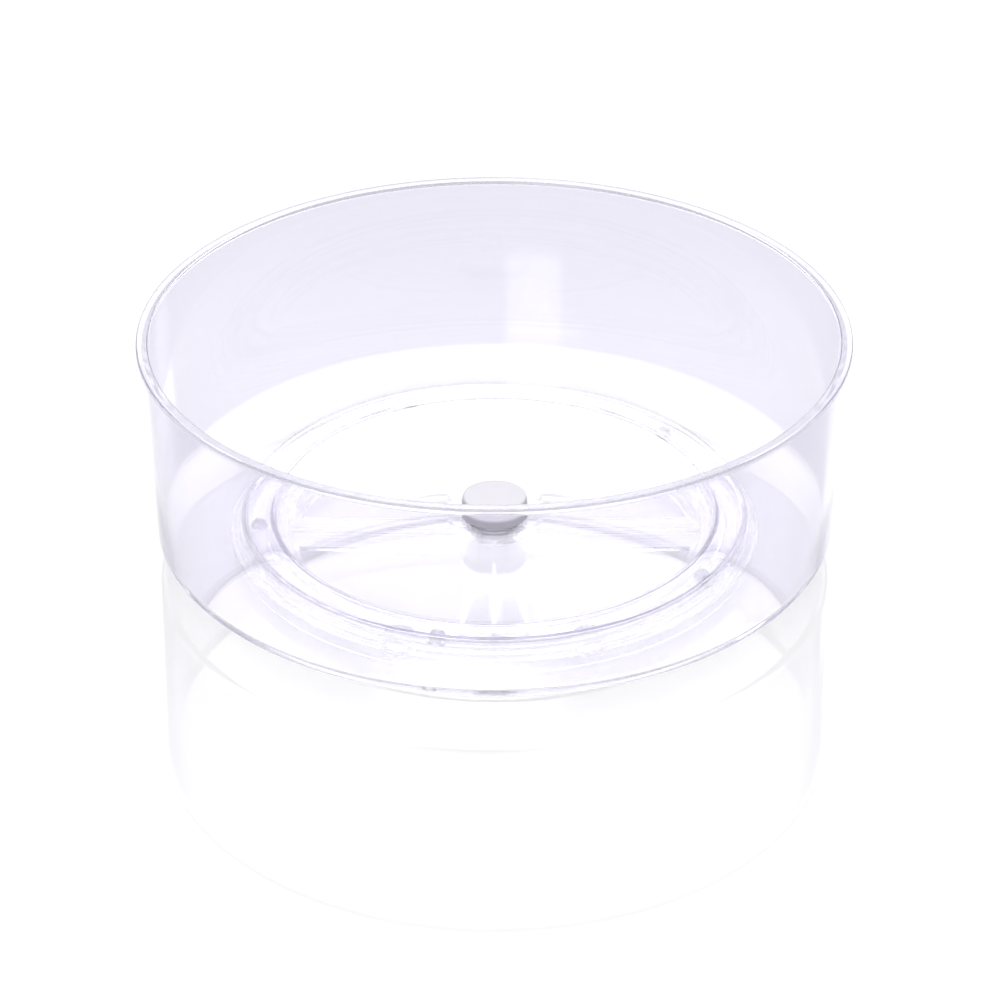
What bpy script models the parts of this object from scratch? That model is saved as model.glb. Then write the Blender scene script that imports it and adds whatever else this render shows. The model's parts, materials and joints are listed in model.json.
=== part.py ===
"""Clear lazy susan turntable: a deep tray that turns on a ring of balls over a four-spoked base.

The origin is the centre of the circle that the feet stand on, and +Z is the axis that the tray turns about.
Every length below is in metres, written as millimetres times MM. Heights are built up from the table.
"""

import math

import bmesh
import bpy
from mathutils import Vector

MM = 0.001

# ---- Tray ---------------------------------------------------------------------------------------------
RIM_RADIUS = 140.0 * MM  # outside of the lip
TRAY_HEIGHT = 82.8 * MM  # underside of the floor to the top of the lip
WALL = 2.4 * MM
FLOOR = 2.4 * MM
LIP_OVERHANG = 2.4 * MM  # how far the lip stands out from the wall
LIP_DEPTH = 2.4 * MM
WALL_LEAN = 1.5 * MM  # the draft: how much narrower the wall is at the floor than at the lip
CORNER_RADIUS = 2.0 * MM  # outside corner between wall and floor
EDGE_RADIUS = 0.8 * MM  # softened edges of the lip
TRACK_DEPTH = 1.6 * MM  # groove under the floor that the balls run in
TRACK_SIDE_ROOM = 1.4 * MM  # from a ball to the side of that groove
TRACK_SLOPE = 0.9 * MM  # the sides of the groove lean out by this
DISH_RADIUS = 19.1 * MM  # where the floor starts to fall towards the hub
DISH_DEPTH = 0.2 * MM

# ---- Ball bearing -------------------------------------------------------------------------------------
BALL_RADIUS = 3.175 * MM  # a standard quarter-inch ball
BALL_COUNT = 5
BALL_CIRCLE = 94.4 * MM  # radius of the circle through the balls' centres
FIRST_BALL_ANGLE = math.radians(40.8)
BALL_GAP = 0.25 * MM  # from a ball to each race
CAGE_THICKNESS = 1.9 * MM
CAGE_WEB = 2.4 * MM  # from a pocket to the edge of the cage
POCKET_GAP = 0.35 * MM

# ---- Base ---------------------------------------------------------------------------------------------
BASE_HEIGHT = 7.1 * MM  # bottom edge of the ring to its deck
BASE_WALL = 2.0 * MM
RACE_DEPTH = 1.3 * MM  # the groove in the deck
RIB_HEIGHT = 1.6 * MM  # the two ribs that keep the cage centred
RIB_THICKNESS = 1.6 * MM
RIB_GAP = 0.4 * MM
DECK_LEDGE = 3.7 * MM  # deck from each rib to the edge of the ring
DECK_EDGE = 0.6 * MM  # softened edges of the deck
FLANGE_WIDTH = 3.0 * MM  # flange that joins the spokes inside the ring
SPOKE_WIDTH = 26.0 * MM
SPOKE_THICKNESS = 2.0 * MM
SPOKE_RIB_HEIGHT = 3.0 * MM
SPOKE_RIB_THICKNESS = 1.6 * MM
WINDOW_CORNER = 6.0 * MM
HUB_WALL = 2.0 * MM

# ---- Feet ---------------------------------------------------------------------------------------------
FOOT_COUNT = 8
PAD_RADIUS = 4.5 * MM
PAD_THICKNESS = 1.9 * MM
PAD_PROUD = 1.0 * MM  # how far a pad stands out below the base
FOOT_BOSS_WALL = 1.6 * MM

# ---- Hub ----------------------------------------------------------------------------------------------
CAP_RADIUS = 13.35 * MM
CAP_HEIGHT = 3.6 * MM
CAP_WALL = 1.1 * MM
CAP_EDGE = 0.9 * MM
SPINDLE_RADIUS = 5.2 * MM
SPINDLE_HEAD_THICKNESS = 1.4 * MM
BUSH_WALL = 2.2 * MM
BUSH_FLANGE = 2.7 * MM  # how far the flange stands out from the sleeve
BUSH_FLANGE_THICKNESS = 1.0 * MM
WASHER_THICKNESS = 1.0 * MM
CLIP_THICKNESS = 1.1 * MM
CLIP_WIDTH = 4.6 * MM  # inside to outside of the clip
CLIP_BITE = 1.0 * MM  # depth of the spindle's groove
CLIP_OPENING = 7.0 * MM
SPINDLE_TIP = 0.9 * MM  # below the clip's groove

FIT_GAP = 0.3 * MM  # between pieces that fit together
SEAT_GAP = 0.25 * MM  # between pieces that rest on each other
CUT_PAST = 1.0 * MM  # how far a cutter runs past what it cuts
LAP = 0.6 * MM  # how far joined shapes run into each other

BIG_SEGMENTS = 60
HUB_SEGMENTS = 32
SMALL_SEGMENTS = 16
BALL_RINGS = 8
ARC_STEPS = 2

# ---- Heights that follow, from the table up -----------------------------------------------------------
DECK_Z = PAD_PROUD + BASE_HEIGHT
WEB_Z = PAD_PROUD + SPOKE_THICKNESS  # top of the spokes
BALL_Z = DECK_Z - RACE_DEPTH + BALL_GAP + BALL_RADIUS
TRACK_Z = BALL_Z + BALL_RADIUS + BALL_GAP  # roof of the tray's groove
TRAY_Z = TRACK_Z - TRACK_DEPTH  # underside of the tray
FLOOR_Z = TRAY_Z + FLOOR
RIM_Z = TRAY_Z + TRAY_HEIGHT
HUB_FLOOR_Z = FLOOR_Z - DISH_DEPTH
WASHER_TOP_Z = TRAY_Z - SEAT_GAP
BUSH_TOP_Z = WASHER_TOP_Z - WASHER_THICKNESS - SEAT_GAP
BOSS_TOP_Z = BUSH_TOP_Z - BUSH_FLANGE_THICKNESS - SEAT_GAP
SPINDLE_END_Z = PAD_PROUD + SEAT_GAP
CLIP_BOTTOM_Z = SPINDLE_END_Z + SPINDLE_TIP + SEAT_GAP
BOSS_BOTTOM_Z = CLIP_BOTTOM_Z + CLIP_THICKNESS + SEAT_GAP

# ---- Radii that follow --------------------------------------------------------------------------------
POCKET_RADIUS = BALL_RADIUS + POCKET_GAP
CAGE_REACH = POCKET_RADIUS + CAGE_WEB  # half of the cage's width
RIB_REACH = CAGE_REACH + RIB_GAP + RIB_THICKNESS
RING_INNER = BALL_CIRCLE - RIB_REACH - DECK_LEDGE
RING_OUTER = BALL_CIRCLE + RIB_REACH + DECK_LEDGE
WINDOW_RADIUS = RING_INNER - FLANGE_WIDTH
BUSH_BORE = SPINDLE_RADIUS + FIT_GAP
BUSH_RADIUS = BUSH_BORE + BUSH_WALL
FLANGE_RADIUS = BUSH_RADIUS + BUSH_FLANGE
CLIP_BORE = SPINDLE_RADIUS - CLIP_BITE + FIT_GAP
CLIP_ROOM = CLIP_BORE + CLIP_WIDTH + FIT_GAP  # recess in the hub that the clip turns in
HUB_RADIUS = CLIP_ROOM + HUB_WALL


# ---- Tools --------------------------------------------------------------------------------------------
def material(name, colour, roughness, alpha=1.0, transmission=0.0):
    made = bpy.data.materials.new(name)
    made.use_nodes = True
    shader = made.node_tree.nodes["Principled BSDF"]
    shader.inputs["Base Color"].default_value = (*colour, 1.0)
    shader.inputs["Roughness"].default_value = roughness
    shader.inputs["Alpha"].default_value = alpha
    shader.inputs["Transmission Weight"].default_value = transmission
    made.diffuse_color = (*colour, alpha)
    return made


def add_object(name, bm, mat=None):
    """A mesh object made from bm, which it frees. Without a material it is a helper for a Boolean."""
    bmesh.ops.remove_doubles(bm, verts=bm.verts, dist=1e-7)
    bmesh.ops.dissolve_degenerate(bm, edges=bm.edges, dist=1e-7)
    bmesh.ops.recalc_face_normals(bm, faces=bm.faces)
    mesh = bpy.data.meshes.new(name)
    bm.to_mesh(mesh)
    bm.free()
    obj = bpy.data.objects.new(name, mesh)
    bpy.context.scene.collection.objects.link(obj)
    if mat is None:
        obj.hide_render = True
        obj.display_type = "WIRE"
    else:
        mesh.materials.append(mat)
        mesh.shade_smooth()
        mesh.set_sharp_from_angle(angle=math.radians(35))
    return obj


def rounded(corners, loop=True):
    """Points of a profile whose corners are (across, up, radius), each turned into an arc of its radius."""
    points = []
    for i, (across, up, radius) in enumerate(corners):
        here = Vector((across, up))
        is_end = not loop and i in (0, len(corners) - 1)
        if radius == 0 or is_end:
            points.append(here)
            continue
        to_last = (Vector(corners[i - 1][:2]) - here).normalized()
        to_next = (Vector(corners[(i + 1) % len(corners)][:2]) - here).normalized()
        half = to_last.angle(to_next) / 2
        centre = here + (to_last + to_next).normalized() * (radius / math.sin(half))
        start = here + to_last * (radius / math.tan(half)) - centre
        end = here + to_next * (radius / math.tan(half)) - centre
        turn = math.atan2(start.x * end.y - start.y * end.x, start.dot(end))
        first = math.atan2(start.y, start.x)
        for step in range(ARC_STEPS + 1):
            angle = first + turn * step / ARC_STEPS
            points.append(centre + radius * Vector((math.cos(angle), math.sin(angle))))
    return points


def turned(name, profile, segments, mat=None, loop=True):
    """The profile's (radius, height) points spun about Z: a ring if it's a loop, else closed on the axis."""
    bm = bmesh.new()
    verts = [bm.verts.new((p[0], 0, p[1])) for p in profile]
    pairs = list(zip(verts, verts[1:] + verts[:1])) if loop else list(zip(verts, verts[1:]))
    edges = [bm.edges.new(pair) for pair in pairs]
    bmesh.ops.spin(
        bm, geom=verts + edges, cent=(0, 0, 0), axis=(0, 0, 1), dvec=(0, 0, 0),
        angle=2 * math.pi, steps=segments, use_merge=True,
    )
    return add_object(name, bm, mat)


def add_prism(bm, outline, low, high):
    """Adds an upright prism on a closed (x, y) outline to bm."""
    face = bm.faces.new([bm.verts.new((x, y, low)) for x, y in outline])
    raised = bmesh.ops.extrude_face_region(bm, geom=[face])["geom"]
    up = [v for v in raised if isinstance(v, bmesh.types.BMVert)]
    bmesh.ops.translate(bm, verts=up, vec=(0, 0, high - low))


def circle(x, y, radius, segments):
    """Points of a circle about (x, y), anticlockwise."""
    step = 2 * math.pi / segments
    return [(x + radius * math.cos(i * step), y + radius * math.sin(i * step)) for i in range(segments)]


def drums(name, centres, radius, low, high, segments=SMALL_SEGMENTS):
    """One helper made of an upright cylinder at each centre."""
    bm = bmesh.new()
    for x, y in centres:
        add_prism(bm, circle(x, y, radius, segments), low, high)
    return add_object(name, bm)


def around(count, radius, first=0.0):
    """(x, y) of points spaced evenly on a circle about the axis."""
    angles = [first + i * 2 * math.pi / count for i in range(count)]
    return [(radius * math.cos(a), radius * math.sin(a)) for a in angles]


def combine(obj, other, operation):
    modifier = obj.modifiers.new(operation.lower() + "_" + other.name, "BOOLEAN")
    modifier.operation = operation
    modifier.object = other
    modifier.solver = "EXACT"


# ---- Pieces -------------------------------------------------------------------------------------------
def make_tray(mat):
    """Floor, wall and lip in one moulding. The balls' groove under the floor shows as a ridge on it."""
    wall_top = RIM_RADIUS - LIP_OVERHANG
    wall_foot = wall_top - WALL_LEAN
    groove = BALL_RADIUS + TRACK_SIDE_ROOM  # half of the groove's width at its roof
    mouth = groove + TRACK_SLOPE
    ridge_top = groove + FLOOR / 2
    ridge_foot = ridge_top + TRACK_SLOPE
    profile = rounded([
        (BUSH_BORE, TRAY_Z, 0),
        (BALL_CIRCLE - mouth, TRAY_Z, 0),
        (BALL_CIRCLE - groove, TRACK_Z, 0),
        (BALL_CIRCLE + groove, TRACK_Z, 0),
        (BALL_CIRCLE + mouth, TRAY_Z, 0),
        (wall_foot, TRAY_Z, CORNER_RADIUS),
        (wall_top, RIM_Z - LIP_DEPTH, 0),
        (RIM_RADIUS, RIM_Z - LIP_DEPTH, EDGE_RADIUS),
        (RIM_RADIUS, RIM_Z, EDGE_RADIUS),
        (wall_top - WALL, RIM_Z, EDGE_RADIUS),
        (wall_foot - WALL, FLOOR_Z, CORNER_RADIUS / 2),
        (BALL_CIRCLE + ridge_foot, FLOOR_Z, 0),
        (BALL_CIRCLE + ridge_top, FLOOR_Z + TRACK_DEPTH, 0),
        (BALL_CIRCLE - ridge_top, FLOOR_Z + TRACK_DEPTH, 0),
        (BALL_CIRCLE - ridge_foot, FLOOR_Z, 0),
        (DISH_RADIUS, FLOOR_Z, 0),
        (CAP_RADIUS, HUB_FLOOR_Z, 0),
        (BUSH_BORE, HUB_FLOOR_Z, 0),
    ])
    return turned("tray", profile, BIG_SEGMENTS, mat)


def make_hub_cap(mat):
    """Frosted cap, hollow underneath, that snaps over the head of the spindle."""
    low = HUB_FLOOR_Z + SEAT_GAP
    high = low + CAP_HEIGHT
    profile = rounded([
        (0, high - CAP_WALL, 0),
        (CAP_RADIUS - CAP_WALL, high - CAP_WALL, 0),
        (CAP_RADIUS - CAP_WALL, low, 0),
        (CAP_RADIUS, low, 0),
        (CAP_RADIUS, high, CAP_EDGE),
        (0, high, 0),
    ], loop=False)
    return turned("hub_cap", profile, HUB_SEGMENTS, mat, loop=False)


def make_spindle(mat):
    """Stepped shaft: its head sits on the tray, and a groove at its foot holds the clip."""
    head_z = HUB_FLOOR_Z + SEAT_GAP
    head = CAP_RADIUS - CAP_WALL - FIT_GAP
    groove = SPINDLE_RADIUS - CLIP_BITE
    profile = rounded([
        (0, SPINDLE_END_Z, 0),
        (SPINDLE_RADIUS, SPINDLE_END_Z, SPINDLE_TIP / 3),
        (SPINDLE_RADIUS, SPINDLE_END_Z + SPINDLE_TIP, 0),
        (groove, SPINDLE_END_Z + SPINDLE_TIP, 0),
        (groove, BOSS_BOTTOM_Z, 0),
        (SPINDLE_RADIUS, BOSS_BOTTOM_Z, 0),
        (SPINDLE_RADIUS, head_z, 0),
        (head, head_z, 0),
        (head, head_z + SPINDLE_HEAD_THICKNESS, 0),
        (0, head_z + SPINDLE_HEAD_THICKNESS, 0),
    ], loop=False)
    return turned("spindle", profile, HUB_SEGMENTS, mat, loop=False)


def ring(name, inner, outer, low, high, segments, mat):
    """A plain ring with square edges."""
    return turned(name, [(inner, low), (outer, low), (outer, high), (inner, high)], segments, mat)


def make_thrust_washer(mat):
    return ring(
        "thrust_washer", BUSH_BORE, FLANGE_RADIUS,
        WASHER_TOP_Z - WASHER_THICKNESS, WASHER_TOP_Z, HUB_SEGMENTS, mat,
    )


def make_hub_bush(mat):
    """Flanged sleeve that lines the hub of the base. Its flange lies on the boss."""
    flange_z = BUSH_TOP_Z - BUSH_FLANGE_THICKNESS
    profile = [
        (BUSH_BORE, BOSS_BOTTOM_Z), (BUSH_RADIUS, BOSS_BOTTOM_Z), (BUSH_RADIUS, flange_z),
        (FLANGE_RADIUS, flange_z), (FLANGE_RADIUS, BUSH_TOP_Z), (BUSH_BORE, BUSH_TOP_Z),
    ]
    return turned("hub_bush", profile, HUB_SEGMENTS, mat)


def make_retaining_clip(mat):
    """Open ring that springs into the spindle's groove and stops the tray from lifting off."""
    outer = CLIP_BORE + CLIP_WIDTH
    top = CLIP_BOTTOM_Z + CLIP_THICKNESS
    clip = ring("retaining_clip", CLIP_BORE, outer, CLIP_BOTTOM_Z, top, HUB_SEGMENTS, mat)
    half = CLIP_OPENING / 2
    reach = outer + CUT_PAST
    bm = bmesh.new()
    slot = [(0, -half), (reach, -half), (reach, half), (0, half)]
    add_prism(bm, slot, CLIP_BOTTOM_Z - CUT_PAST, top + CUT_PAST)
    combine(clip, add_object("clip_slot_cutter", bm), "DIFFERENCE")
    return clip


def window_outline(quarter):
    """One of the four windows between the spokes, with rounded corners."""
    side = SPOKE_WIDTH / 2
    near = side + WINDOW_CORNER
    rim = WINDOW_RADIUS - WINDOW_CORNER  # distance of the outer corners' centres from the axis
    far = math.sqrt(rim**2 - near**2)
    lean = math.atan2(near, far)
    right_angle = math.pi / 2
    arcs = [
        (near, near, WINDOW_CORNER, 2 * right_angle, 3 * right_angle, ARC_STEPS + 1),
        (far, near, WINDOW_CORNER, 3 * right_angle, 4 * right_angle + lean, ARC_STEPS + 2),
        (0, 0, WINDOW_RADIUS, lean, right_angle - lean, BIG_SEGMENTS // 5),
        (near, far, WINDOW_CORNER, right_angle - lean, 2 * right_angle, ARC_STEPS + 2),
    ]
    points = []
    for x, y, radius, start, end, steps in arcs:
        for i in range(steps + 1):
            angle = start + (end - start) * i / steps
            points.append((x + radius * math.cos(angle), y + radius * math.sin(angle)))
    turn = quarter * right_angle
    cos, sin = math.cos(turn), math.sin(turn)
    return [(x * cos - y * sin, x * sin + y * cos) for x, y in points]


def make_base_disc(mat):
    """The turned shape of the base: a thin web, and round it the ring with the balls' groove in its deck."""
    groove = BALL_RADIUS + BALL_GAP
    edge = math.acos((BALL_Z - DECK_Z) / groove)  # half of the angle that the groove wraps round a ball
    arc = [-edge + 2 * edge * i / 6 for i in range(7)]
    dip = [(BALL_CIRCLE - groove * math.sin(a), BALL_Z - groove * math.cos(a), 0) for a in arc]
    rib_in = RIB_REACH - RIB_THICKNESS
    rib_top = DECK_Z + RIB_HEIGHT
    keel = groove * math.sin(edge) + BASE_WALL / 2
    keel_z = DECK_Z - RACE_DEPTH - BASE_WALL
    under = DECK_Z - BASE_WALL
    profile = rounded([
        (0, PAD_PROUD, 0),
        (RING_INNER + BASE_WALL, PAD_PROUD, 0),
        (RING_INNER + BASE_WALL, under, 0),
        (BALL_CIRCLE - keel, under, 0),
        (BALL_CIRCLE - keel, keel_z, 0),
        (BALL_CIRCLE + keel, keel_z, 0),
        (BALL_CIRCLE + keel, under, 0),
        (RING_OUTER - BASE_WALL, under, 0),
        (RING_OUTER - BASE_WALL, PAD_PROUD, 0),
        (RING_OUTER, PAD_PROUD, 0),
        (RING_OUTER, DECK_Z, DECK_EDGE),
        (BALL_CIRCLE + RIB_REACH, DECK_Z, 0),
        (BALL_CIRCLE + RIB_REACH, rib_top, 0),
        (BALL_CIRCLE + rib_in, rib_top, 0),
        (BALL_CIRCLE + rib_in, DECK_Z, 0),
        *dip,
        (BALL_CIRCLE - rib_in, DECK_Z, 0),
        (BALL_CIRCLE - rib_in, rib_top, 0),
        (BALL_CIRCLE - RIB_REACH, rib_top, 0),
        (BALL_CIRCLE - RIB_REACH, DECK_Z, 0),
        (RING_INNER, DECK_Z, DECK_EDGE),
        (RING_INNER, WEB_Z, 0),
        (0, WEB_Z, 0),
    ], loop=False)
    return turned("base", profile, BIG_SEGMENTS, mat, loop=False)


def make_windows():
    """Cutter for the four windows that leave the spokes and the flange of the web."""
    bm = bmesh.new()
    for quarter in range(4):
        add_prism(bm, window_outline(quarter), PAD_PROUD - CUT_PAST, WEB_Z + CUT_PAST)
    return add_object("window_cutter", bm)


def make_spoke_ribs():
    """A stiffening rib along the middle of each spoke, from the hub to the ring."""
    bm = bmesh.new()
    half = SPOKE_RIB_THICKNESS / 2
    start, end = HUB_RADIUS - LAP, RING_INNER + LAP
    for quarter in range(4):
        cos, sin = round(math.cos(quarter * math.pi / 2)), round(math.sin(quarter * math.pi / 2))
        corners = [(start, -half), (end, -half), (end, half), (start, half)]
        outline = [(x * cos - y * sin, x * sin + y * cos) for x, y in corners]
        add_prism(bm, outline, WEB_Z - LAP, WEB_Z + SPOKE_RIB_HEIGHT)
    return add_object("spoke_ribs", bm)


def make_base(mat):
    """One moulding: the race ring, four spokes inside it, a hub for the bush and a boss over each foot."""
    base = make_base_disc(mat)
    combine(base, make_windows(), "DIFFERENCE")
    centre = [(0.0, 0.0)]
    combine(base, drums("hub", centre, HUB_RADIUS, WEB_Z - LAP, BOSS_TOP_Z, HUB_SEGMENTS), "UNION")
    combine(base, make_spoke_ribs(), "UNION")
    feet = around(FOOT_COUNT, BALL_CIRCLE, math.pi / FOOT_COUNT)
    boss_radius = PAD_RADIUS + FIT_GAP + FOOT_BOSS_WALL
    boss_top = DECK_Z - (BASE_WALL + RACE_DEPTH) / 2  # between the deck's underside and the race's floor
    combine(base, drums("foot_bosses", feet, boss_radius, PAD_PROUD, boss_top), "UNION")
    below = PAD_PROUD - CUT_PAST
    pockets = drums("foot_pocket_cutter", feet, PAD_RADIUS + FIT_GAP, below, PAD_THICKNESS + SEAT_GAP)
    combine(base, pockets, "DIFFERENCE")
    recess = drums("clip_recess_cutter", centre, CLIP_ROOM, below, BOSS_BOTTOM_Z, HUB_SEGMENTS)
    combine(base, recess, "DIFFERENCE")
    bore = drums("hub_bore_cutter", centre, BUSH_RADIUS + FIT_GAP, below, BOSS_TOP_Z + CUT_PAST, HUB_SEGMENTS)
    combine(base, bore, "DIFFERENCE")
    return base


def make_ball_cage(mat):
    """Flat ring that keeps the balls evenly spaced. It turns with them."""
    low = DECK_Z + FIT_GAP
    high = low + CAGE_THICKNESS
    inner, outer = BALL_CIRCLE - CAGE_REACH, BALL_CIRCLE + CAGE_REACH
    cage = ring("ball_cage", inner, outer, low, high, BIG_SEGMENTS, mat)
    centres = around(BALL_COUNT, BALL_CIRCLE, FIRST_BALL_ANGLE)
    pockets = drums("ball_pocket_cutter", centres, POCKET_RADIUS, low - CUT_PAST, high + CUT_PAST)
    combine(cage, pockets, "DIFFERENCE")
    return cage


def make_balls(mat):
    """Each ball's poles point at the hub, because it rolls about that line."""
    for i, (x, y) in enumerate(around(BALL_COUNT, BALL_CIRCLE, FIRST_BALL_ANGLE)):
        bm = bmesh.new()
        bmesh.ops.create_uvsphere(bm, u_segments=SMALL_SEGMENTS, v_segments=BALL_RINGS, radius=BALL_RADIUS)
        ball = add_object(f"ball_{i + 1}", bm, mat)
        ball.rotation_euler = (0, math.pi / 2, math.atan2(y, x))
        ball.location = (x, y, BALL_Z)


def make_foot_pads(mat):
    for i, (x, y) in enumerate(around(FOOT_COUNT, BALL_CIRCLE, math.pi / FOOT_COUNT)):
        profile = rounded([
            (0, 0, 0),
            (PAD_RADIUS, 0, PAD_PROUD / 3),
            (PAD_RADIUS, PAD_THICKNESS, 0),
            (0, PAD_THICKNESS, 0),
        ], loop=False)
        pad = turned(f"foot_pad_{i + 1}", profile, SMALL_SEGMENTS, mat, loop=False)
        pad.location = (x, y, 0)


def main():
    for obj in list(bpy.data.objects):
        bpy.data.objects.remove(obj)
    clear = material("clear_plastic", (0.93, 0.93, 0.97), 0.04, alpha=0.3, transmission=1.0)
    frosted = material("frosted_plastic", (0.88, 0.87, 0.89), 0.45)
    acetal = material("natural_acetal", (0.93, 0.93, 0.92), 0.3)
    ball_white = material("ball_plastic", (0.92, 0.92, 0.93), 0.12)
    soft_pad = material("soft_pad", (0.86, 0.86, 0.88), 0.55)
    make_tray(clear)
    make_base(clear)
    make_ball_cage(clear)
    make_balls(ball_white)
    make_hub_cap(frosted)
    make_spindle(acetal)
    make_thrust_washer(acetal)
    make_hub_bush(acetal)
    make_retaining_clip(acetal)
    make_foot_pads(soft_pad)


main()
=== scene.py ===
import json
import math

import bmesh
import bpy
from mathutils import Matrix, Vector


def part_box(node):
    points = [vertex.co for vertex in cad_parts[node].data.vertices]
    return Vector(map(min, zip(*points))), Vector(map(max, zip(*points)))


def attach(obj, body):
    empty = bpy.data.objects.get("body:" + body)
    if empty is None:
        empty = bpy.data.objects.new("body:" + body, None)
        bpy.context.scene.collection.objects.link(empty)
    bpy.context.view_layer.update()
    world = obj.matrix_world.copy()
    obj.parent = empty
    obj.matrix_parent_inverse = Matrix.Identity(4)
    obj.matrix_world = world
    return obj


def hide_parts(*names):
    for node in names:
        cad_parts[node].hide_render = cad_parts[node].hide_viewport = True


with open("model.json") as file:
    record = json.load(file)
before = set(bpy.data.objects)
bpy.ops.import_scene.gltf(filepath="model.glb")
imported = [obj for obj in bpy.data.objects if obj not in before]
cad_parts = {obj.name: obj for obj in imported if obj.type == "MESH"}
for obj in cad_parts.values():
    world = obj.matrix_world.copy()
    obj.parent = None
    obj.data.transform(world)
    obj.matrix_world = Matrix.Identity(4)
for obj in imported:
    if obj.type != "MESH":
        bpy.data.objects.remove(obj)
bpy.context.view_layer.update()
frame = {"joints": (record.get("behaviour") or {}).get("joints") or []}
MM = 0.001

# ---- Camera -------------------------------------------------------------------------------------------
# It looks down into the tray from in front, level and straight on to the base's spokes. The long lens
# keeps the far side of the rim nearly as wide as the near side.
camera_data = bpy.data.cameras.new("camera")
camera_data.lens = 109.2
camera_data.sensor_width = 36.0
camera = bpy.data.objects.new("camera", camera_data)
camera.location = (0.0022, -1.0556, 0.6456)
camera.rotation_euler = (math.radians(59.18), 0, 0)
bpy.context.scene.collection.objects.link(camera)
bpy.context.scene.camera = camera

# ---- Foot pads ----------------------------------------------------------------------------------------
# Eight soft clear pads under the base that stop it from sliding. Each is a moulded disc of silicone with a
# softened rim and three fine grooves in the face it stands on, and it is pressed into a pocket.
BIG_STEPS = 360  # steps round the large turned pieces
SMALL_STEPS = 64  # round the pads, the hub's pieces and most tools
PAD_RADIUS = 4.5 * MM
PAD_EDGE = 0.35 * MM
PAD_RING_DEPTH = 0.12 * MM


def draw_profile(name, points, closed):
    """Draws a profile in the XZ plane by extruding one vertex from point to point.

    The points are (radius, height).
    """
    bpy.ops.object.select_all(action="DESELECT")
    bpy.ops.mesh.primitive_plane_add(size=MM, location=(0, 0, 0))
    piece = bpy.context.object
    piece.name = piece.data.name = name
    bpy.ops.object.mode_set(mode="EDIT")
    bpy.ops.mesh.select_mode(type="VERT")
    bpy.ops.mesh.select_all(action="SELECT")
    bpy.ops.mesh.merge(type="CENTER")
    radius, height = points[0]
    bpy.ops.transform.translate(value=(radius, 0, height))
    for next_radius, next_height in points[1:]:
        step = (next_radius - radius, 0, next_height - height)
        bpy.ops.mesh.extrude_region_move(TRANSFORM_OT_translate={"value": step})
        radius, height = next_radius, next_height
    if closed:
        pick_points([points[0], points[-1]])
        bpy.ops.mesh.edge_face_add()
    return piece


def pick_points(places):
    """Selects the profile's vertices at these (radius, height) places, and nothing else."""
    mesh = bmesh.from_edit_mesh(bpy.context.object.data)
    bpy.ops.mesh.select_all(action="DESELECT")
    for vert in mesh.verts:
        near = any(math.hypot(vert.co.x - r, vert.co.z - h) < 0.01 * MM for r, h in places)
        vert.select_set(near)
    bmesh.update_edit_mesh(bpy.context.object.data)


def round_points(places, radius, segments=4):
    """Rounds the drawn profile's corners at these places."""
    pick_points(places)
    bpy.ops.mesh.bevel(offset=radius, segments=segments, affect="VERTICES", clamp_overlap=True)


def spin_profile(steps):
    """Spins the drawn profile once round the Z axis, closes the seam and the poles, and leaves edit mode."""
    bpy.ops.mesh.select_all(action="SELECT")
    bpy.ops.mesh.spin(steps=steps, angle=2 * math.pi, center=(0, 0, 0), axis=(0, 0, 1))
    bpy.ops.mesh.select_all(action="SELECT")
    bpy.ops.mesh.remove_doubles(threshold=0.002 * MM)
    bpy.ops.mesh.dissolve_degenerate(threshold=0.0005 * MM)
    bpy.ops.mesh.select_all(action="SELECT")
    bpy.ops.mesh.normals_make_consistent(inside=False)
    bpy.ops.object.mode_set(mode="OBJECT")


def smooth(piece, angle=32):
    """Shades a piece smooth, with edges sharper than the angle left crisp."""
    bpy.ops.object.select_all(action="DESELECT")
    piece.select_set(True)
    bpy.context.view_layer.objects.active = piece
    bpy.ops.object.shade_smooth_by_angle(angle=math.radians(angle))


def new_material(name):
    """A material with its Principled shader, and that shader's tree."""
    made = bpy.data.materials.new(name)
    made.use_nodes = True
    return made, made.node_tree, made.node_tree.nodes["Principled BSDF"]


def grain(tree, scale, detail, low, high):
    """Noise on the piece's own coordinates, as a number that runs from low to high."""
    place = tree.nodes.new("ShaderNodeTexCoord")
    noise = tree.nodes.new("ShaderNodeTexNoise")
    noise.inputs["Scale"].default_value = scale
    noise.inputs["Detail"].default_value = detail
    spread = tree.nodes.new("ShaderNodeMapRange")
    spread.inputs["From Min"].default_value = 0.3
    spread.inputs["From Max"].default_value = 0.7
    spread.inputs["To Min"].default_value = low
    spread.inputs["To Max"].default_value = high
    tree.links.new(place.outputs["Object"], noise.inputs["Vector"])
    tree.links.new(noise.outputs["Fac"], spread.inputs["Value"])
    return spread.outputs["Result"]


def bump(tree, shader, height, strength, distance):
    """Raises the surface a little by a height."""
    raised = tree.nodes.new("ShaderNodeBump")
    raised.inputs["Strength"].default_value = strength
    raised.inputs["Distance"].default_value = distance
    tree.links.new(height, raised.inputs["Height"])
    tree.links.new(raised.outputs["Normal"], shader.inputs["Normal"])


def silicone_material():
    """Clear silicone with a matt skin."""
    made, tree, shader = new_material("clear_silicone")
    shader.inputs["Base Color"].default_value = (0.98, 0.98, 0.985, 1)
    shader.inputs["Transmission Weight"].default_value = 0.95
    shader.inputs["IOR"].default_value = 1.41
    tree.links.new(grain(tree, 900, 4, 0.12, 0.25), shader.inputs["Roughness"])
    bump(tree, shader, grain(tree, 2600, 3, 0, 1), 0.25, 0.02 * MM)
    return made


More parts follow.
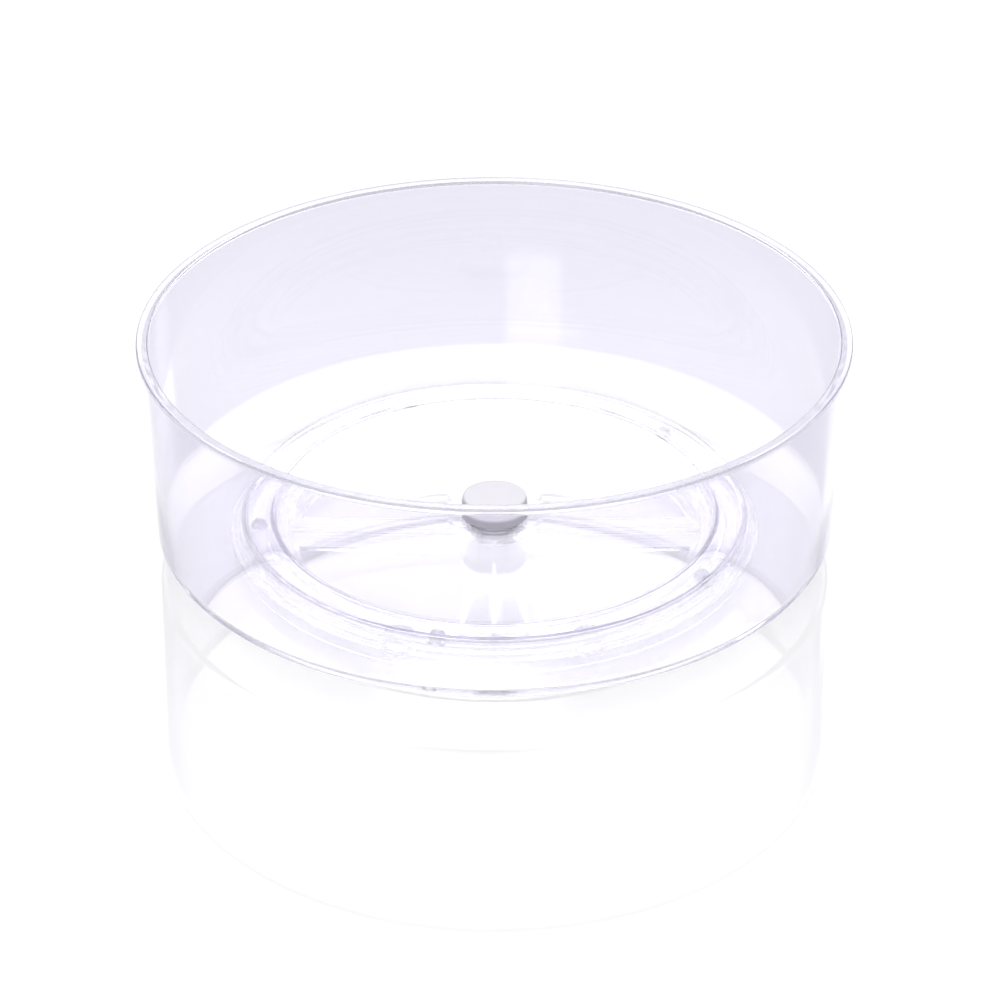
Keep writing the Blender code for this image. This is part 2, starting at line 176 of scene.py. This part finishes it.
silicone = silicone_material()
pad_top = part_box("foot_pad_1")[1].z
rings = [(1.2 * MM, 1.6 * MM), (2.3 * MM, 2.7 * MM), (3.3 * MM, 3.7 * MM)]
for number in range(1, 9):
    low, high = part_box(f"foot_pad_{number}")
    face = [(0, 0)]
    for inner, outer in rings:
        face += [(inner, 0), (inner, PAD_RING_DEPTH), (outer, PAD_RING_DEPTH), (outer, 0)]
    outline = face + [(PAD_RADIUS, 0), (PAD_RADIUS, pad_top), (0, pad_top)]
    pad = draw_profile(f"silicone_pad_{number}", outline, closed=False)
    round_points([(PAD_RADIUS, 0), (PAD_RADIUS, pad_top)], PAD_EDGE)
    spin_profile(SMALL_STEPS)
    bpy.ops.transform.translate(value=((low.x + high.x) / 2, (low.y + high.y) / 2, 0))
    bpy.ops.object.transform_apply(location=True)
    smooth(pad)
    pad.data.materials.append(silicone)
    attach(pad, "base")
    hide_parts(f"foot_pad_{number}")

# ---- Base ---------------------------------------------------------------------------------------------
# The moulded clear ring that stands on the pads: a deck with the balls' groove and two ribs, on an inner
# and an outer wall, joined to the hub by four flat spokes. Moulded in one piece from clear styrene.
BASE_WALL = 2.0 * MM
RACE_DEPTH = 1.3 * MM
RIB_HEIGHT = 1.6 * MM
RIB_THICKNESS = 1.6 * MM
RING_HALF = 11.6 * MM  # from the balls' circle to the edge of the ring
RIB_REACH = 7.9 * MM  # from the balls' circle to the far side of each rib
SPOKE_THICKNESS = 2.0 * MM
SPOKE_WIDTH = 26.0 * MM
SPOKE_RIB = 1.6 * MM
SPOKE_RIB_HEIGHT = 3.0 * MM
FLANGE_WIDTH = 3.0 * MM
WINDOW_CORNER = 6.0 * MM
BALL_RADIUS = 3.175 * MM
RUNNING_GAP = 0.25 * MM
GROOVE_RADIUS = BALL_RADIUS + RUNNING_GAP
POCKET_RADIUS = PAD_RADIUS + 0.3 * MM
POCKET_ROOM = 0.25 * MM  # above each pad
BOSS_WALL = 1.6 * MM
HUB_BORE = 8.0 * MM
HUB_OUTER = 11.4 * MM
BUSH_FLANGE_RISE = 1.25 * MM  # from the top of the hub to the top of the bush's flange
SINK = 0.6 * MM  # how far what is fused to the web or the ring starts inside it
CLIP_ROOM = 9.4 * MM
CLIP_ROOM_Z = 3.75 * MM
MOULD_RADIUS = 0.3 * MM  # softening that the mould leaves on edges

joints = {joint["name"]: joint for joint in frame["joints"]}
ball_centre = Vector(joints["ball_1_roll"]["pos_m"])
circle = math.hypot(ball_centre.x, ball_centre.y)  # radius that the balls run on
base_low, base_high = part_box("base")
rib_top = base_high.z
deck = rib_top - RIB_HEIGHT
web_top = base_low.z + SPOKE_THICKNESS
hub_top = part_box("hub_bush")[1].z - BUSH_FLANGE_RISE


def cut(piece, tool, operation="DIFFERENCE"):
    """Applies a Boolean with the tool and removes the tool."""
    bpy.ops.object.select_all(action="DESELECT")
    piece.select_set(True)
    bpy.context.view_layer.objects.active = piece
    bpy.ops.object.modifier_add(type="BOOLEAN")
    modifier = piece.modifiers[-1]
    modifier.object = tool
    modifier.operation = operation
    modifier.solver = "EXACT"
    bpy.ops.object.modifier_apply(modifier=modifier.name)
    bpy.data.objects.remove(tool)


def clean_cuts(piece):
    """Welds the points that a Boolean leaves almost together, so that no sliver faces are left."""
    bpy.ops.object.select_all(action="DESELECT")
    piece.select_set(True)
    bpy.context.view_layer.objects.active = piece
    bpy.ops.object.mode_set(mode="EDIT")
    bpy.ops.mesh.select_all(action="SELECT")
    bpy.ops.mesh.remove_doubles(threshold=0.005 * MM)
    bpy.ops.mesh.dissolve_degenerate(threshold=0.005 * MM)
    bpy.ops.object.mode_set(mode="OBJECT")


def drum(x, y, radius, low, high, steps=SMALL_STEPS):
    """An upright cylinder, used as a Boolean tool."""
    bpy.ops.object.select_all(action="DESELECT")
    bpy.ops.mesh.primitive_cylinder_add(
        vertices=steps, radius=radius, depth=high - low, location=(x, y, (low + high) / 2)
    )
    return bpy.context.object


def join(tools):
    """Makes one object of several tools that stand clear of each other."""
    bpy.ops.object.select_all(action="DESELECT")
    for tool in tools:
        tool.select_set(True)
    bpy.context.view_layer.objects.active = tools[0]
    bpy.ops.object.join()
    return tools[0]


def window_tool(quarter):
    """A quarter of a drum, drawn back from the spokes and with its corners rounded."""
    side = SPOKE_WIDTH / 2
    reach = circle - RING_HALF - FLANGE_WIDTH
    tool = drum(0, 0, reach, base_low.z - MM, web_top + MM, BIG_STEPS)
    bpy.ops.object.mode_set(mode="EDIT")
    for normal in ((1, 0, 0), (0, 1, 0)):
        bpy.ops.mesh.select_all(action="SELECT")
        edge = (normal[0] * side, normal[1] * side, 0)
        bpy.ops.mesh.bisect(plane_co=edge, plane_no=normal, clear_inner=True, use_fill=True)
    mesh = bmesh.from_edit_mesh(tool.data)
    bpy.ops.mesh.select_all(action="DESELECT")
    bpy.ops.mesh.select_mode(type="EDGE")
    for edge in mesh.edges:
        upright = abs(edge.verts[0].co.z - edge.verts[1].co.z) > MM
        x, y = edge.verts[0].co.x, edge.verts[0].co.y
        if upright and (abs(x - side) < 0.01 * MM or abs(y - side) < 0.01 * MM):
            edge.select_set(True)
    bmesh.update_edit_mesh(tool.data)
    bpy.ops.mesh.bevel(offset=WINDOW_CORNER, segments=8, affect="EDGES", clamp_overlap=True)
    bpy.ops.object.mode_set(mode="OBJECT")
    tool.rotation_euler.z = quarter * math.pi / 2
    bpy.ops.object.transform_apply(rotation=True)
    return tool


GROOVE_STEPS = 12
half_wrap = math.acos((ball_centre.z - deck) / GROOVE_RADIUS)
groove = []
for i in range(GROOVE_STEPS + 1):
    angle = half_wrap - 2 * half_wrap * i / GROOVE_STEPS
    across = GROOVE_RADIUS * math.sin(angle)
    down = GROOVE_RADIUS * math.cos(angle)
    groove.append((circle + across, ball_centre.z - down))
keel = GROOVE_RADIUS * math.sin(half_wrap) + BASE_WALL / 2
keel_z = deck - RACE_DEPTH - BASE_WALL
under = deck - BASE_WALL
ring_in, ring_out = circle - RING_HALF, base_high.x
foot = base_low.z
rib_in = RIB_REACH - RIB_THICKNESS
profile = [
    (0, foot), (ring_in + BASE_WALL, foot), (ring_in + BASE_WALL, under), (circle - keel, under),
    (circle - keel, keel_z), (circle + keel, keel_z), (circle + keel, under), (ring_out - BASE_WALL, under),
    (ring_out - BASE_WALL, foot), (ring_out, foot), (ring_out, deck), (circle + RIB_REACH, deck),
    (circle + RIB_REACH, rib_top), (circle + rib_in, rib_top), (circle + rib_in, deck), *groove,
    (circle - rib_in, deck), (circle - rib_in, rib_top), (circle - RIB_REACH, rib_top),
    (circle - RIB_REACH, deck), (ring_in, deck), (ring_in, web_top), (0, web_top),
]
base_ring = draw_profile("clear_base", profile, closed=False)
round_points([(ring_out, deck), (ring_in, deck)], 0.6 * MM)
round_points([(circle + RIB_REACH, rib_top), (circle + rib_in, rib_top)], MOULD_RADIUS)
round_points([(circle - RIB_REACH, rib_top), (circle - rib_in, rib_top)], MOULD_RADIUS)
round_points([(circle + RIB_REACH, deck), (circle - RIB_REACH, deck), (ring_in, web_top)], MOULD_RADIUS)
round_points([(ring_out, foot), (ring_out - BASE_WALL, foot), groove[0], groove[-1]], MOULD_RADIUS)
spin_profile(BIG_STEPS)
cut(base_ring, join([window_tool(quarter) for quarter in range(4)]))
ribs = []
for quarter in range(4):
    middle = (HUB_OUTER + ring_in) / 2
    turn = quarter * math.pi / 2
    bpy.ops.object.select_all(action="DESELECT")
    bpy.ops.mesh.primitive_cube_add(size=1, location=(middle * math.cos(turn), middle * math.sin(turn), 0))
    rib = bpy.context.object
    rib.rotation_euler.z = turn
    rib.scale = (ring_in - HUB_OUTER + 2 * SINK, SPOKE_RIB, SPOKE_RIB_HEIGHT + SINK)
    rib.location.z = web_top + (SPOKE_RIB_HEIGHT - SINK) / 2
    bpy.ops.object.transform_apply(location=True, rotation=True, scale=True)
    ribs.append(rib)
cut(base_ring, drum(0, 0, HUB_OUTER, web_top - SINK, hub_top), "UNION")
cut(base_ring, join(ribs), "UNION")
boss_top = deck - (BASE_WALL + RACE_DEPTH) / 2
bosses, pockets = [], []
for number in range(1, 9):
    low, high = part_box(f"foot_pad_{number}")
    x, y = (low.x + high.x) / 2, (low.y + high.y) / 2
    bosses.append(drum(x, y, POCKET_RADIUS + BOSS_WALL, foot, boss_top))
    pockets.append(drum(x, y, POCKET_RADIUS, foot - MM, high.z + POCKET_ROOM))
cut(base_ring, join(bosses), "UNION")
cut(base_ring, join(pockets))
cut(base_ring, drum(0, 0, CLIP_ROOM, foot - MM, CLIP_ROOM_Z))
cut(base_ring, drum(0, 0, HUB_BORE, foot - MM, hub_top + MM))
clean_cuts(base_ring)
smooth(base_ring)


def styrene_material(name, tint, ior, density):
    """Polished clear plastic, very slightly lavender. Long ways through it, as in a rim, look darker."""
    made, tree, shader = new_material(name)
    shader.inputs["Base Color"].default_value = (*tint, 1)
    shader.inputs["Transmission Weight"].default_value = 1.0
    shader.inputs["IOR"].default_value = ior
    tree.links.new(grain(tree, 30, 3, 0.0, 0.03), shader.inputs["Roughness"])
    bump(tree, shader, grain(tree, 14, 1, 0, 1), 0.1, 0.05 * MM)
    depth = tree.nodes.new("ShaderNodeVolumeAbsorption")
    depth.inputs["Color"].default_value = (0.5, 0.48, 0.62, 1)
    depth.inputs["Density"].default_value = density
    tree.links.new(depth.outputs["Volume"], tree.nodes["Material Output"].inputs["Volume"])
    return made


STYRENE_TINT = (0.995, 0.995, 0.998)  # of the thin pieces under the tray
base_ring.data.materials.append(styrene_material("clear_styrene_base", STYRENE_TINT, ior=1.5, density=1.0))
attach(base_ring, "base")
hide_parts("base")

# ---- Hub bush -----------------------------------------------------------------------------------------
# Sleeve of natural acetal, injection moulded and pressed into the hub of the base. The spindle turns in it,
# and its flange carries the thrust washer.
BORE = 5.5 * MM  # of the bush, the washer and the tray
BUSH_WALL = 2.2 * MM
BUSH_FLANGE_THICKNESS = 1.0 * MM
low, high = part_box("hub_bush")
flange = high.x
outline = [
    (BORE, low.z), (BORE + BUSH_WALL, low.z), (BORE + BUSH_WALL, high.z - BUSH_FLANGE_THICKNESS),
    (flange, high.z - BUSH_FLANGE_THICKNESS), (flange, high.z), (BORE, high.z),
]
bush = draw_profile("acetal_bush", outline, closed=True)
round_points([outline[0], outline[1], outline[3], outline[4], outline[5]], 0.2 * MM)
spin_profile(SMALL_STEPS)
smooth(bush)


def acetal_material():
    """Natural acetal, as moulded: clear enough for light to come through, hazed by a satin skin."""
    made, tree, shader = new_material("natural_acetal")
    shader.inputs["Base Color"].default_value = (0.97, 0.97, 0.975, 1)
    shader.inputs["Transmission Weight"].default_value = 0.95
    shader.inputs["IOR"].default_value = 1.48
    tree.links.new(grain(tree, 700, 5, 0.1, 0.2), shader.inputs["Roughness"])
    bump(tree, shader, grain(tree, 1800, 4, 0, 1), 0.2, 0.015 * MM)
    return made


acetal = acetal_material()
bush.data.materials.append(acetal)
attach(bush, "base")
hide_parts("hub_bush")

# ---- Ball cage ----------------------------------------------------------------------------------------
# Thin clear ring with a round pocket for each ball, which keeps the five of them evenly spaced. It lies
# loose between the base's two ribs and goes round with the balls.
CAGE_REACH = 5.925 * MM
CAGE_POCKET = 3.525 * MM
low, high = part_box("ball_cage")
outline = [
    (circle - CAGE_REACH, low.z), (circle + CAGE_REACH, low.z),
    (circle + CAGE_REACH, high.z), (circle - CAGE_REACH, high.z),
]
cage = draw_profile("clear_ball_cage", outline, closed=True)
round_points(outline, 0.25 * MM)
spin_profile(BIG_STEPS)
balls = [joints[f"ball_{number}_roll"] for number in range(1, 6)]
holes = [drum(*joint["pos_m"][:2], CAGE_POCKET, low.z - MM, high.z + MM) for joint in balls]
cut(cage, join(holes))
smooth(cage)
cage.data.materials.append(styrene_material("clear_styrene_cage", STYRENE_TINT, ior=1.5, density=1.0))
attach(cage, "ball_cage")
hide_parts("ball_cage")

# ---- Balls --------------------------------------------------------------------------------------------
# Five quarter-inch balls of white plastic, tumbled smooth. They roll in the base's groove, each in its own
# pocket of the cage, under the track in the floor of the tray.


def ball_material():
    """White plastic that lets some light through, with a fine tumbled skin."""
    made, tree, shader = new_material("white_ball_plastic")
    shader.inputs["Base Color"].default_value = (0.99, 0.99, 0.995, 1)
    shader.inputs["Transmission Weight"].default_value = 0.8
    shader.inputs["Subsurface Weight"].default_value = 0.3
    shader.inputs["Subsurface Scale"].default_value = 1.5 * MM
    shader.inputs["IOR"].default_value = 1.48
    tree.links.new(grain(tree, 500, 4, 0.1, 0.24), shader.inputs["Roughness"])
    bump(tree, shader, grain(tree, 1500, 3, 0, 1), 0.12, 0.01 * MM)
    return made


ball_plastic = ball_material()
for number, joint in enumerate(balls, 1):
    bpy.ops.object.select_all(action="DESELECT")
    bpy.ops.mesh.primitive_uv_sphere_add(
        segments=48, ring_count=24, radius=BALL_RADIUS, location=joint["pos_m"]
    )
    ball = bpy.context.object
    ball.name = ball.data.name = f"white_ball_{number}"
    bpy.ops.object.transform_apply(location=True)
    smooth(ball, 60)
    ball.data.materials.append(ball_plastic)
    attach(ball, f"ball_{number}")
    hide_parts(f"ball_{number}")

# ---- Thrust washer ------------------------------------------------------------------------------------
# Flat washer of natural acetal between the bush's flange and the underside of the tray. It is moulded with
# its edges rounded, and lies loose round the spindle.
low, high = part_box("thrust_washer")
outline = [(BORE, low.z), (high.x, low.z), (high.x, high.z), (BORE, high.z)]
washer = draw_profile("acetal_washer", outline, closed=True)
round_points(outline, 0.15 * MM)
spin_profile(SMALL_STEPS)
smooth(washer)
washer.data.materials.append(acetal)
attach(washer, "base")
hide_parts("thrust_washer")

# ---- Tray ---------------------------------------------------------------------------------------------
# The deep clear tray, moulded in one piece: floor, leaning wall and a lip that stands out at the top. The
# groove under the floor that the balls run in shows inside as a low ridge, and the floor dishes at the hub.
WALL = 2.4 * MM
FLOOR = 2.4 * MM
LIP_OVERHANG = 2.4 * MM
LIP_DEPTH = 2.4 * MM
WALL_LEAN = 1.5 * MM
TRACK_DEPTH = 1.6 * MM
TRACK_HALF = 4.575 * MM
TRACK_SLOPE = 0.9 * MM
DISH_RADIUS = 19.1 * MM
DISH_DEPTH = 0.2 * MM
FLOOR_TINT = (1.0, 1.0, 1.0)
# Painted shade: the wall and lip are drawn darker and more lavender than the floor, though both are the same
# clear styrene.
WALL_PAINTED_SHADE = (0.808, 0.793, 0.867)  # also of the lip
LIP_HAZE = 0.14  # roughness that the lip has over the wall's
low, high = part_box("tray")
under, rim = low.z, high.z
floor = under + FLOOR
wall_top = high.x - LIP_OVERHANG
wall_foot = wall_top - WALL_LEAN
cap_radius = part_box("hub_cap")[1].x
ridge_top = TRACK_HALF + FLOOR / 2
ridge_foot = ridge_top + TRACK_SLOPE
groove_mouth = TRACK_HALF + TRACK_SLOPE
outline = [
    (BORE, under), (circle - groove_mouth, under), (circle - TRACK_HALF, under + TRACK_DEPTH),
    (circle + TRACK_HALF, under + TRACK_DEPTH), (circle + groove_mouth, under), (wall_foot, under),
    (wall_top, rim - LIP_DEPTH), (high.x, rim - LIP_DEPTH), (high.x, rim), (wall_top - WALL, rim),
    (wall_foot - WALL, floor), (circle + ridge_foot, floor), (circle + ridge_top, floor + TRACK_DEPTH),
    (circle - ridge_top, floor + TRACK_DEPTH), (circle - ridge_foot, floor), (DISH_RADIUS, floor),
    (cap_radius, floor - DISH_DEPTH), (BORE, floor - DISH_DEPTH),
]
tray = draw_profile("clear_tray", outline, closed=True)
round_points([outline[5]], 2.0 * MM, 8)
round_points([outline[7], outline[8], outline[9]], 0.8 * MM, 6)
round_points([outline[6]], 0.5 * MM)
round_points([outline[10]], 1.0 * MM, 6)
round_points(outline[1:5] + outline[11:15], 0.5 * MM)
round_points([outline[15], outline[16]], 1.2 * MM)
spin_profile(BIG_STEPS)
smooth(tray)


def tray_material():
    """The tray's styrene: clear in the floor, with painted shade up the wall that makes it darker and more
    lavender, and satin on the lip.
    """
    made = styrene_material("clear_styrene_tray", FLOOR_TINT, ior=1.55, density=4.0)
    tree = made.node_tree
    shader = tree.nodes["Principled BSDF"]
    place = tree.nodes.new("ShaderNodeTexCoord")
    parts = tree.nodes.new("ShaderNodeSeparateXYZ")
    tree.links.new(place.outputs["Object"], parts.inputs["Vector"])
    climb = tree.nodes.new("ShaderNodeMapRange")
    climb.interpolation_type = "SMOOTHSTEP"
    climb.inputs["From Min"].default_value = floor + 0.3 * MM
    climb.inputs["From Max"].default_value = floor + 2.5 * MM
    # The wall's darker lavender is painted shade, blended in over the floor's clear styrene as the wall
    # rises.
    shade = tree.nodes.new("ShaderNodeMix")
    shade.data_type = "RGBA"
    shade.inputs["A"].default_value = (*FLOOR_TINT, 1)
    shade.inputs["B"].default_value = (*WALL_PAINTED_SHADE, 1)
    tree.links.new(parts.outputs["Z"], climb.inputs["Value"])
    tree.links.new(climb.outputs["Result"], shade.inputs["Factor"])
    tree.links.new(shade.outputs["Result"], shader.inputs["Base Color"])
    lip = tree.nodes.new("ShaderNodeMapRange")
    lip.inputs["From Min"].default_value = rim - LIP_DEPTH - MM
    lip.inputs["From Max"].default_value = rim - LIP_DEPTH
    lip.inputs["To Max"].default_value = LIP_HAZE
    rough = tree.nodes.new("ShaderNodeMath")
    rough.operation = "ADD"
    tree.links.new(parts.outputs["Z"], lip.inputs["Value"])
    tree.links.new(shader.inputs["Roughness"].links[0].from_socket, rough.inputs[0])
    tree.links.new(lip.outputs["Result"], rough.inputs[1])
    tree.links.new(rough.outputs["Value"], shader.inputs["Roughness"])
    return made


tray.data.materials.append(tray_material())
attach(tray, "tray")
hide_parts("tray")

# ---- Spindle ------------------------------------------------------------------------------------------
# Natural acetal pin through the hub. Its broad head sits on the floor of the tray under the cap, and a
# groove near its foot takes the clip.
SPINDLE_RADIUS = 5.2 * MM
SPINDLE_TIP = 0.9 * MM
HEAD_THICKNESS = 1.4 * MM
GROOVE_TOP = CLIP_ROOM_Z
low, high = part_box("spindle")
neck = SPINDLE_RADIUS - 1.0 * MM
outline = [
    (0, low.z), (SPINDLE_RADIUS, low.z), (SPINDLE_RADIUS, low.z + SPINDLE_TIP), (neck, low.z + SPINDLE_TIP),
    (neck, GROOVE_TOP), (SPINDLE_RADIUS, GROOVE_TOP), (SPINDLE_RADIUS, high.z - HEAD_THICKNESS),
    (high.x, high.z - HEAD_THICKNESS), (high.x, high.z), (0, high.z),
]
spindle = draw_profile("acetal_spindle", outline, closed=False)
round_points([outline[1], outline[7], outline[8]], 0.3 * MM)
round_points([outline[2], outline[5]], 0.1 * MM, 2)
spin_profile(SMALL_STEPS)
smooth(spindle)
spindle.data.materials.append(acetal)
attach(spindle, "tray")
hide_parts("spindle")

# ---- Retaining clip -----------------------------------------------------------------------------------
# Open ring of natural acetal, moulded flat, that springs into the spindle's groove under the hub. It keeps
# the tray on its base.
CLIP_BORE = 4.5 * MM
CLIP_OPENING = 7.0 * MM
low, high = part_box("retaining_clip")
clip_outer = -low.x
outline = [(CLIP_BORE, low.z), (clip_outer, low.z), (clip_outer, high.z), (CLIP_BORE, high.z)]
clip = draw_profile("acetal_clip", outline, closed=True)
spin_profile(SMALL_STEPS)
bpy.ops.object.select_all(action="DESELECT")
bpy.ops.mesh.primitive_cube_add(size=1, location=(clip_outer, 0, (low.z + high.z) / 2))
slot_tool = bpy.context.object
slot_tool.scale = (2 * clip_outer, CLIP_OPENING, 4 * MM)
bpy.ops.object.transform_apply(location=True, scale=True)
cut(clip, slot_tool)
bpy.ops.object.modifier_add(type="BEVEL")
edge = clip.modifiers[-1]
edge.width = 0.2 * MM
edge.segments = 3
edge.limit_method = "ANGLE"
bpy.ops.object.modifier_apply(modifier=edge.name)
clean_cuts(clip)
smooth(clip)
clip.data.materials.append(acetal)
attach(clip, "tray")
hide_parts("retaining_clip")

# ---- Hub cap ------------------------------------------------------------------------------------------
# Frosted cap that snaps over the spindle's head. Its side draws in a little towards a well-rounded edge,
# and the top is very slightly sunk, as a thin moulded disc is.
CAP_WALL = 1.1 * MM
CAP_DRAFT = 0.45 * MM
CAP_EDGE = 0.9 * MM
CAP_SINK = 0.12 * MM
low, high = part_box("hub_cap")
outer = high.x
inner = outer - CAP_WALL
outline = [
    (0, high.z - CAP_WALL), (inner - CAP_DRAFT, high.z - CAP_WALL), (inner, low.z), (outer, low.z),
    (outer - CAP_DRAFT / 3, low.z + 0.7 * MM), (outer - CAP_DRAFT, high.z), (outer - 3 * MM, high.z),
    (outer * 0.6, high.z - CAP_SINK * 0.7), (0, high.z - CAP_SINK),
]
cap = draw_profile("frosted_cap", outline, closed=False)
round_points([outline[5]], CAP_EDGE, 8)
round_points([outline[3], outline[2]], 0.2 * MM)
round_points([outline[6], outline[7]], 1.0 * MM)
spin_profile(SMALL_STEPS * 2)
smooth(cap, 40)


def frosted_material():
    """Light grey plastic with a fine spark-eroded frost."""
    made, tree, shader = new_material("frosted_plastic")
    shader.inputs["Base Color"].default_value = (0.86, 0.84, 0.875, 1)
    shader.inputs["IOR"].default_value = 1.5
    tree.links.new(grain(tree, 1100, 6, 0.42, 0.6), shader.inputs["Roughness"])
    bump(tree, shader, grain(tree, 2400, 5, 0, 1), 0.35, 0.03 * MM)
    return made


cap.data.materials.append(frosted_material())
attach(cap, "tray")
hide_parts("hub_cap")

# ---- Table and light ----------------------------------------------------------------------------------
# A white glossy table that glows a little, as a light table does, under soft light from all round. Of the
# soft boxes, three stand behind the tray, one behind and to the right, one overhead and one in front. The
# two small ones behind show in the table as an upright band and as a bright spot on the tray's floor.
bpy.ops.object.select_all(action="DESELECT")
bpy.ops.mesh.primitive_plane_add(size=8, location=(0, 0, 0))
table = bpy.context.object
table.name = "table"
white, tree, shader = new_material("white_table")
shader.inputs["Base Color"].default_value = (0.4, 0.4, 0.4, 1)
shader.inputs["Roughness"].default_value = 0.045
shader.inputs["IOR"].default_value = 1.42
shader.inputs["Emission Color"].default_value = (0.98, 0.98, 1.0, 1)
shader.inputs["Emission Strength"].default_value = 0.55
table.data.materials.append(white)

# The light from all round is a little stronger from behind the tray than from the camera's side.
world = bpy.data.worlds.new("studio")
world.use_nodes = True
sky = world.node_tree
way = sky.nodes.new("ShaderNodeTexCoord")
parts = sky.nodes.new("ShaderNodeSeparateXYZ")
level = sky.nodes.new("ShaderNodeMapRange")
level.inputs["From Min"].default_value = -0.9
level.inputs["From Max"].default_value = -0.3
level.inputs["To Min"].default_value = 0.85
level.inputs["To Max"].default_value = 0.95
sky.links.new(way.outputs["Generated"], parts.inputs["Vector"])
sky.links.new(parts.outputs["Y"], level.inputs["Value"])
sky.links.new(level.outputs["Result"], sky.nodes["Background"].inputs["Strength"])
sky.nodes["Background"].inputs["Color"].default_value = (0.97, 0.97, 1.0, 1)
bpy.context.scene.world = world


def soft_box(name, turn, tilt, distance, width, height, radiance, fade):
    """A soft light that faces the object and brightens over this much of the way from its edges inwards."""
    turn, tilt = math.radians(turn), math.radians(tilt)
    away = Vector((math.sin(turn) * math.cos(tilt), math.cos(turn) * math.cos(tilt), math.sin(tilt)))
    bpy.ops.object.select_all(action="DESELECT")
    bpy.ops.mesh.primitive_plane_add(size=1, location=away * distance)
    box = bpy.context.object
    box.name = name
    box.scale = (width, height, 1)
    box.rotation_euler = (-away).to_track_quat("-Z", "Y").to_euler()
    glow, tree, shader = new_material(name)
    tree.nodes.remove(shader)
    place = tree.nodes.new("ShaderNodeTexCoord")
    parts = tree.nodes.new("ShaderNodeSeparateXYZ")
    tree.links.new(place.outputs["Object"], parts.inputs["Vector"])
    strength = None
    for axis in "XY":
        across = tree.nodes.new("ShaderNodeMath")
        across.operation = "ABSOLUTE"
        ramp = tree.nodes.new("ShaderNodeMapRange")
        ramp.interpolation_type = "SMOOTHSTEP"
        ramp.inputs["From Min"].default_value = 0.5
        ramp.inputs["From Max"].default_value = 0.5 - 0.5 * fade
        tree.links.new(parts.outputs[axis], across.inputs[0])
        tree.links.new(across.outputs["Value"], ramp.inputs["Value"])
        both = tree.nodes.new("ShaderNodeMath")
        both.operation = "MULTIPLY"
        both.inputs[0].default_value = radiance
        if strength:
            tree.links.new(strength, both.inputs[0])
        tree.links.new(ramp.outputs["Result"], both.inputs[1])
        strength = both.outputs["Value"]
    lamp = tree.nodes.new("ShaderNodeEmission")
    clear = tree.nodes.new("ShaderNodeBsdfTransparent")
    added = tree.nodes.new("ShaderNodeAddShader")
    tree.links.new(strength, lamp.inputs["Strength"])
    tree.links.new(lamp.outputs["Emission"], added.inputs[0])
    tree.links.new(clear.outputs["BSDF"], added.inputs[1])
    tree.links.new(added.outputs["Shader"], tree.nodes["Material Output"].inputs["Surface"])
    box.data.materials.append(glow)


# name, turn and tilt in degrees, distance, width and height in metres, radiance, fade
soft_box("back_box", -0.4, 35, 3.0, 2.3, 1.5, 2.8, 0.7)
soft_box("window_box", 1.1, 25.8, 2.8, 0.08, 0.25, 1.2, 0.15)
soft_box("low_box", -1.0, 35.5, 2.7, 0.3, 0.4, 4.0, 0.9)
soft_box("side_box", 26, 25, 3.0, 0.9, 0.9, 3.5, 0.3)
soft_box("front_box", 199, 28, 3.0, 1.5, 0.5, 2.0, 0.3)
soft_box("overhead_box", 0, 80, 2.4, 2.4, 2.4, 0.6, 0.5)
studio = bpy.context.scene
studio.view_settings.view_transform = "Standard"
# Light runs on inside a clear rim from face to face, and too few bounces would leave the rim black.
BOUNCES = 200
studio.cycles.max_bounces = BOUNCES
studio.cycles.transmission_bounces = BOUNCES
studio.cycles.glossy_bounces = BOUNCES
